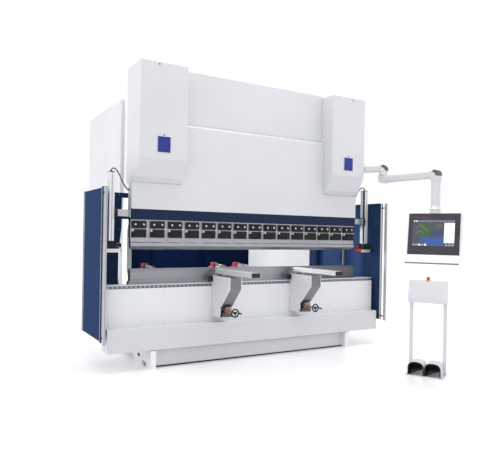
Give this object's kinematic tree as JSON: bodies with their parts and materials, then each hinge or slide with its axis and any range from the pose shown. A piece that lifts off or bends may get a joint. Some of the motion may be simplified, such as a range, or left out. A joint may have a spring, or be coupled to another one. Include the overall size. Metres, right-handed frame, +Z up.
{
  "type": "press brake",
  "caption": "CNC hydraulic press brake with a guided ram, segmented punch clamps, lower die, back gauge, sheet supports, side guards, swinging control panel and foot console",
  "frame": {"origin": "on the floor at the middle of the whole footprint, control panel and foot console included", "axes": "+X to the operator's right along the bed, +Y from the operator to the rear, +Z up"},
  "size_m": [3.921, 4.3208, 3.262],
  "materials": {
    "white_paint": "satin white powder coat",
    "lavender_paint": "satin pale lavender powder coat",
    "blue_paint": "satin mid-blue powder coat",
    "navy_paint": "satin dark blue paint",
    "emblem_blue": "glossy plain blue plate",
    "tool_steel": "ground tool steel",
    "machine_steel": "dark machined steel",
    "black_oxide": "black oxide finish",
    "aluminium_profile": "anodised extrusion",
    "grey_paint": "fine texture light grey paint",
    "black_plastic": "moulded black plastic",
    "panel_black": "dark panel face with screen",
    "red_paint": "semi-gloss red paint",
    "red_plastic": "moulded red plastic",
    "cable_rubber": "ribbed cable sheath"
  },
  "bodies": {
    "frame": {"left_side_frame": "white_paint", "right_side_frame": "white_paint", "bed_beam": "white_paint", "bed_front_cover": "white_paint", "kick_panel": "white_paint", "support_rail": "machine_steel", "upper_front_panel": "white_paint", "oil_tank": "white_paint", "left_cylinder_cover": "white_paint", "right_cylinder_cover": "white_paint", "left_cylinder": "machine_steel", "right_cylinder": "machine_steel", "left_emblem_plate": "emblem_blue", "right_emblem_plate": "emblem_blue", "die_holder": "tool_steel", "lower_die": "tool_steel", "left_infill_panel": "blue_paint", "right_infill_panel": "blue_paint", "rear_left_panel": "navy_paint", "rear_right_panel": "navy_paint", "left_side_cover": "lavender_paint", "pump_motor": "machine_steel", "pendant_base": "white_paint", "back_gauge_base": "machine_steel", "electrical_cabinet": "white_paint"},
    "ram": {"ram_beam": "navy_paint", "ram_cover": "white_paint", "punch_clamps": "black_oxide", "upper_punch": "tool_steel", "left_piston_rod": "tool_steel", "right_piston_rod": "tool_steel", "left_laser_bracket": "tool_steel", "right_laser_bracket": "tool_steel", "left_laser_cable": "cable_rubber", "right_laser_cable": "cable_rubber"},
    "left_laser": {"left_laser_post": "aluminium_profile"},
    "right_laser": {"right_laser_post": "aluminium_profile"},
    "left_guard": {"left_guard_door": "blue_paint", "left_guard_handle": "aluminium_profile"},
    "right_guard": {"right_guard_door": "blue_paint", "right_guard_handle": "aluminium_profile"},
    "left_support": {"left_support_bracket": "grey_paint"},
    "right_support": {"right_support_bracket": "grey_paint"},
    "left_arm": {"left_support_arm": "aluminium_profile"},
    "right_arm": {"right_support_arm": "aluminium_profile"},
    "left_wheel": {"left_handwheel": "black_plastic"},
    "right_wheel": {"right_handwheel": "black_plastic"},
    "gauge_carriage": {"back_gauge_carriage": "machine_steel"},
    "gauge_beam": {"back_gauge_beam": "aluminium_profile"},
    "finger_1": {"gauge_finger_1": "red_paint"},
    "finger_2": {"gauge_finger_2": "red_paint"},
    "finger_3": {"gauge_finger_3": "red_paint"},
    "swing_arm": {"pendant_arm": "white_paint"},
    "panel": {"control_panel": "panel_black"},
    "console": {"foot_console": "white_paint"},
    "pedal_left": {"left_pedal": "black_plastic"},
    "pedal_right": {"right_pedal": "black_plastic"},
    "stop_button": {"emergency_stop": "red_plastic"},
    "rear_door": {"rear_door": "navy_paint"},
    "cabinet_door": {"cabinet_door": "white_paint"}
  },
  "joints": [
    {"name": "ram_stroke", "type": "slide", "parent": "frame", "child": "ram", "axis": [0, 0, 1], "range_m": [-0.2, 0]},
    {"name": "left_laser_height", "type": "slide", "parent": "ram", "child": "left_laser", "axis": [0, 0, 1], "range_m": [-0.1, 0]},
    {"name": "left_guard_hinge", "type": "hinge", "parent": "frame", "child": "left_guard", "pos_m": [-1.9445, 0.2904, 1.1], "axis": [0, 0, 1], "range_deg": [-100, 0]},
    {"name": "left_support_travel", "type": "slide", "parent": "frame", "child": "left_support", "axis": [1, 0, 0], "range_m": [-0.9, 0.35]},
    {"name": "left_arm_height", "type": "slide", "parent": "left_support", "child": "left_arm", "axis": [0, 0, 1], "range_m": [-0.02, 0.04]},
    {"name": "left_handwheel_turn", "type": "hinge", "parent": "left_support", "child": "left_wheel", "pos_m": [-0.5975, -0.7806, 0.592], "axis": [0, 1, 0], "range_deg": [-361, 721]},
    {"name": "right_laser_height", "type": "slide", "parent": "ram", "child": "right_laser", "axis": [0, 0, 1], "range_m": [-0.1, 0]},
    {"name": "right_guard_hinge", "type": "hinge", "parent": "frame", "child": "right_guard", "pos_m": [1.8295, 0.2904, 1.1], "axis": [0, 0, 1], "range_deg": [0, 100]},
    {"name": "right_support_travel", "type": "slide", "parent": "frame", "child": "right_support", "axis": [1, 0, 0], "range_m": [-0.35, 0.9]},
    {"name": "right_arm_height", "type": "slide", "parent": "right_support", "child": "right_arm", "axis": [0, 0, 1], "range_m": [-0.02, 0.04]},
    {"name": "right_handwheel_turn", "type": "hinge", "parent": "right_support", "child": "right_wheel", "pos_m": [0.4825, -0.7806, 0.592], "axis": [0, 1, 0], "range_deg": [-361, 721]},
    {"name": "gauge_depth", "type": "slide", "parent": "frame", "child": "gauge_carriage", "axis": [0, 1, 0], "range_m": [-0.26, 0.45]},
    {"name": "gauge_height", "type": "slide", "parent": "gauge_carriage", "child": "gauge_beam", "axis": [0, 0, 1], "range_m": [-0.05, 0.12]},
    {"name": "finger_1_travel", "type": "slide", "parent": "gauge_beam", "child": "finger_1", "axis": [1, 0, 0], "range_m": [-0.03, 0.8]},
    {"name": "finger_2_travel", "type": "slide", "parent": "gauge_beam", "child": "finger_2", "axis": [1, 0, 0], "range_m": [-0.03, 0.15]},
    {"name": "finger_3_travel", "type": "slide", "parent": "gauge_beam", "child": "finger_3", "axis": [1, 0, 0], "range_m": [-0.05, 1.05]},
    {"name": "pendant_swing", "type": "hinge", "parent": "frame", "child": "swing_arm", "pos_m": [1.6715, -0.6486, 2.2], "axis": [0, 0, 1], "range_deg": [-50, 50]},
    {"name": "panel_swivel", "type": "hinge", "parent": "swing_arm", "child": "panel", "pos_m": [1.7605, -1.4336, 1.76], "axis": [0, 0, 1], "range_deg": [-90, 90]},
    {"name": "console_place", "type": "slide", "parent": "frame", "child": "console", "axis": [1, 0, 0], "range_m": [-1.8, 0.3]},
    {"name": "left_pedal_press", "type": "hinge", "parent": "console", "child": "pedal_left", "pos_m": [1.05574, -1.84523, 0.057], "axis": [0.518, -0.8554, 0], "range_deg": [0, 8], "stiffness_Nm_per_rad": 20, "springref_deg": -20.05},
    {"name": "right_pedal_press", "type": "hinge", "parent": "console", "child": "pedal_right", "pos_m": [1.14277, -1.98893, 0.057], "axis": [0.518, -0.8554, 0], "range_deg": [0, 8], "stiffness_Nm_per_rad": 20, "springref_deg": -20.05},
    {"name": "stop_press", "type": "slide", "parent": "console", "child": "stop_button", "axis": [0, 0, 1], "range_m": [-0.004, 0], "stiffness_N_per_m": 2000, "springref_m": 0.003},
    {"name": "rear_door_hinge", "type": "hinge", "parent": "frame", "child": "rear_door", "pos_m": [-0.4885, 2.1114, 1.5], "axis": [0, 0, 1], "range_deg": [0, 110]},
    {"name": "cabinet_door_hinge", "type": "hinge", "parent": "frame", "child": "cabinet_door", "pos_m": [1.6965, 1.3794, 1.19], "axis": [0, 0, 1], "range_deg": [0, 110]}
  ],
  "couplings": [
    {"joint": "left_handwheel_turn", "follows": "left_arm_height", "rad_per_m": 314.16},
    {"joint": "right_handwheel_turn", "follows": "right_arm_height", "rad_per_m": 314.16}
  ]
}
